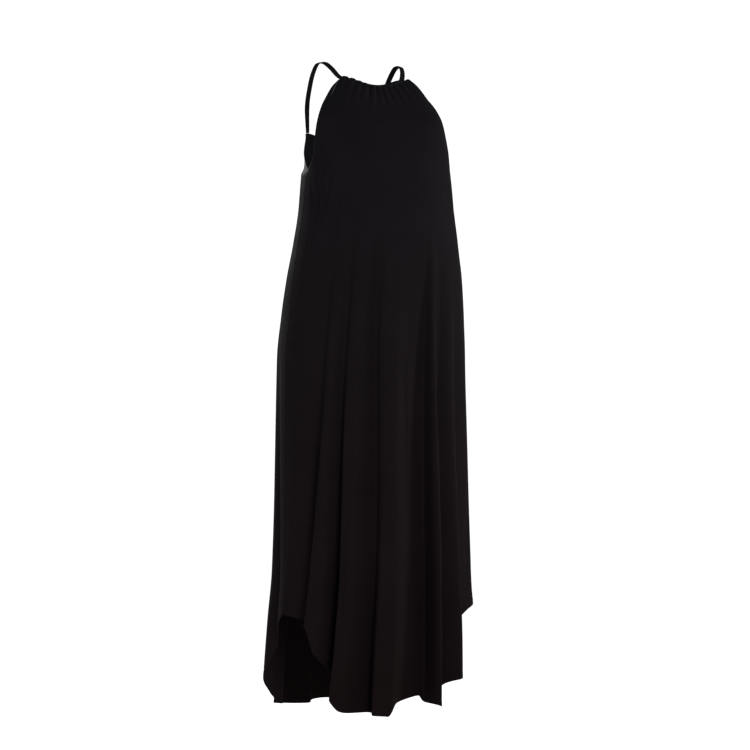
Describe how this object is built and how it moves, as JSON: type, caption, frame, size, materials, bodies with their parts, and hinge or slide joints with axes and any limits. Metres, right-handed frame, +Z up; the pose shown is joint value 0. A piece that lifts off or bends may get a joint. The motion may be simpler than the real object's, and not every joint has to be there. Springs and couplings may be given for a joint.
{
  "type": "halter neck shift dress",
  "caption": "Sleeveless halter neck shift dress in soft jersey, gathered at the neckline, flaring to a long curved shirttail hem.",
  "frame": {"origin": "midway between the two places where the straps rest on the wearer's shoulders", "axes": "+Z up along the worn dress, the front faces -Y, the wearer's left is +X"},
  "size_m": [0.3797, 0.4574, 1.2886],
  "materials": {
    "jersey": "soft matte knit with a faint sheen on the folds"
  },
  "bodies": {
    "root": {"front_panel": "jersey", "back_panel": "jersey", "neckband": "jersey", "back_band": "jersey", "armhole_band_left": "jersey", "armhole_band_right": "jersey"}
  },
  "joints": []
}
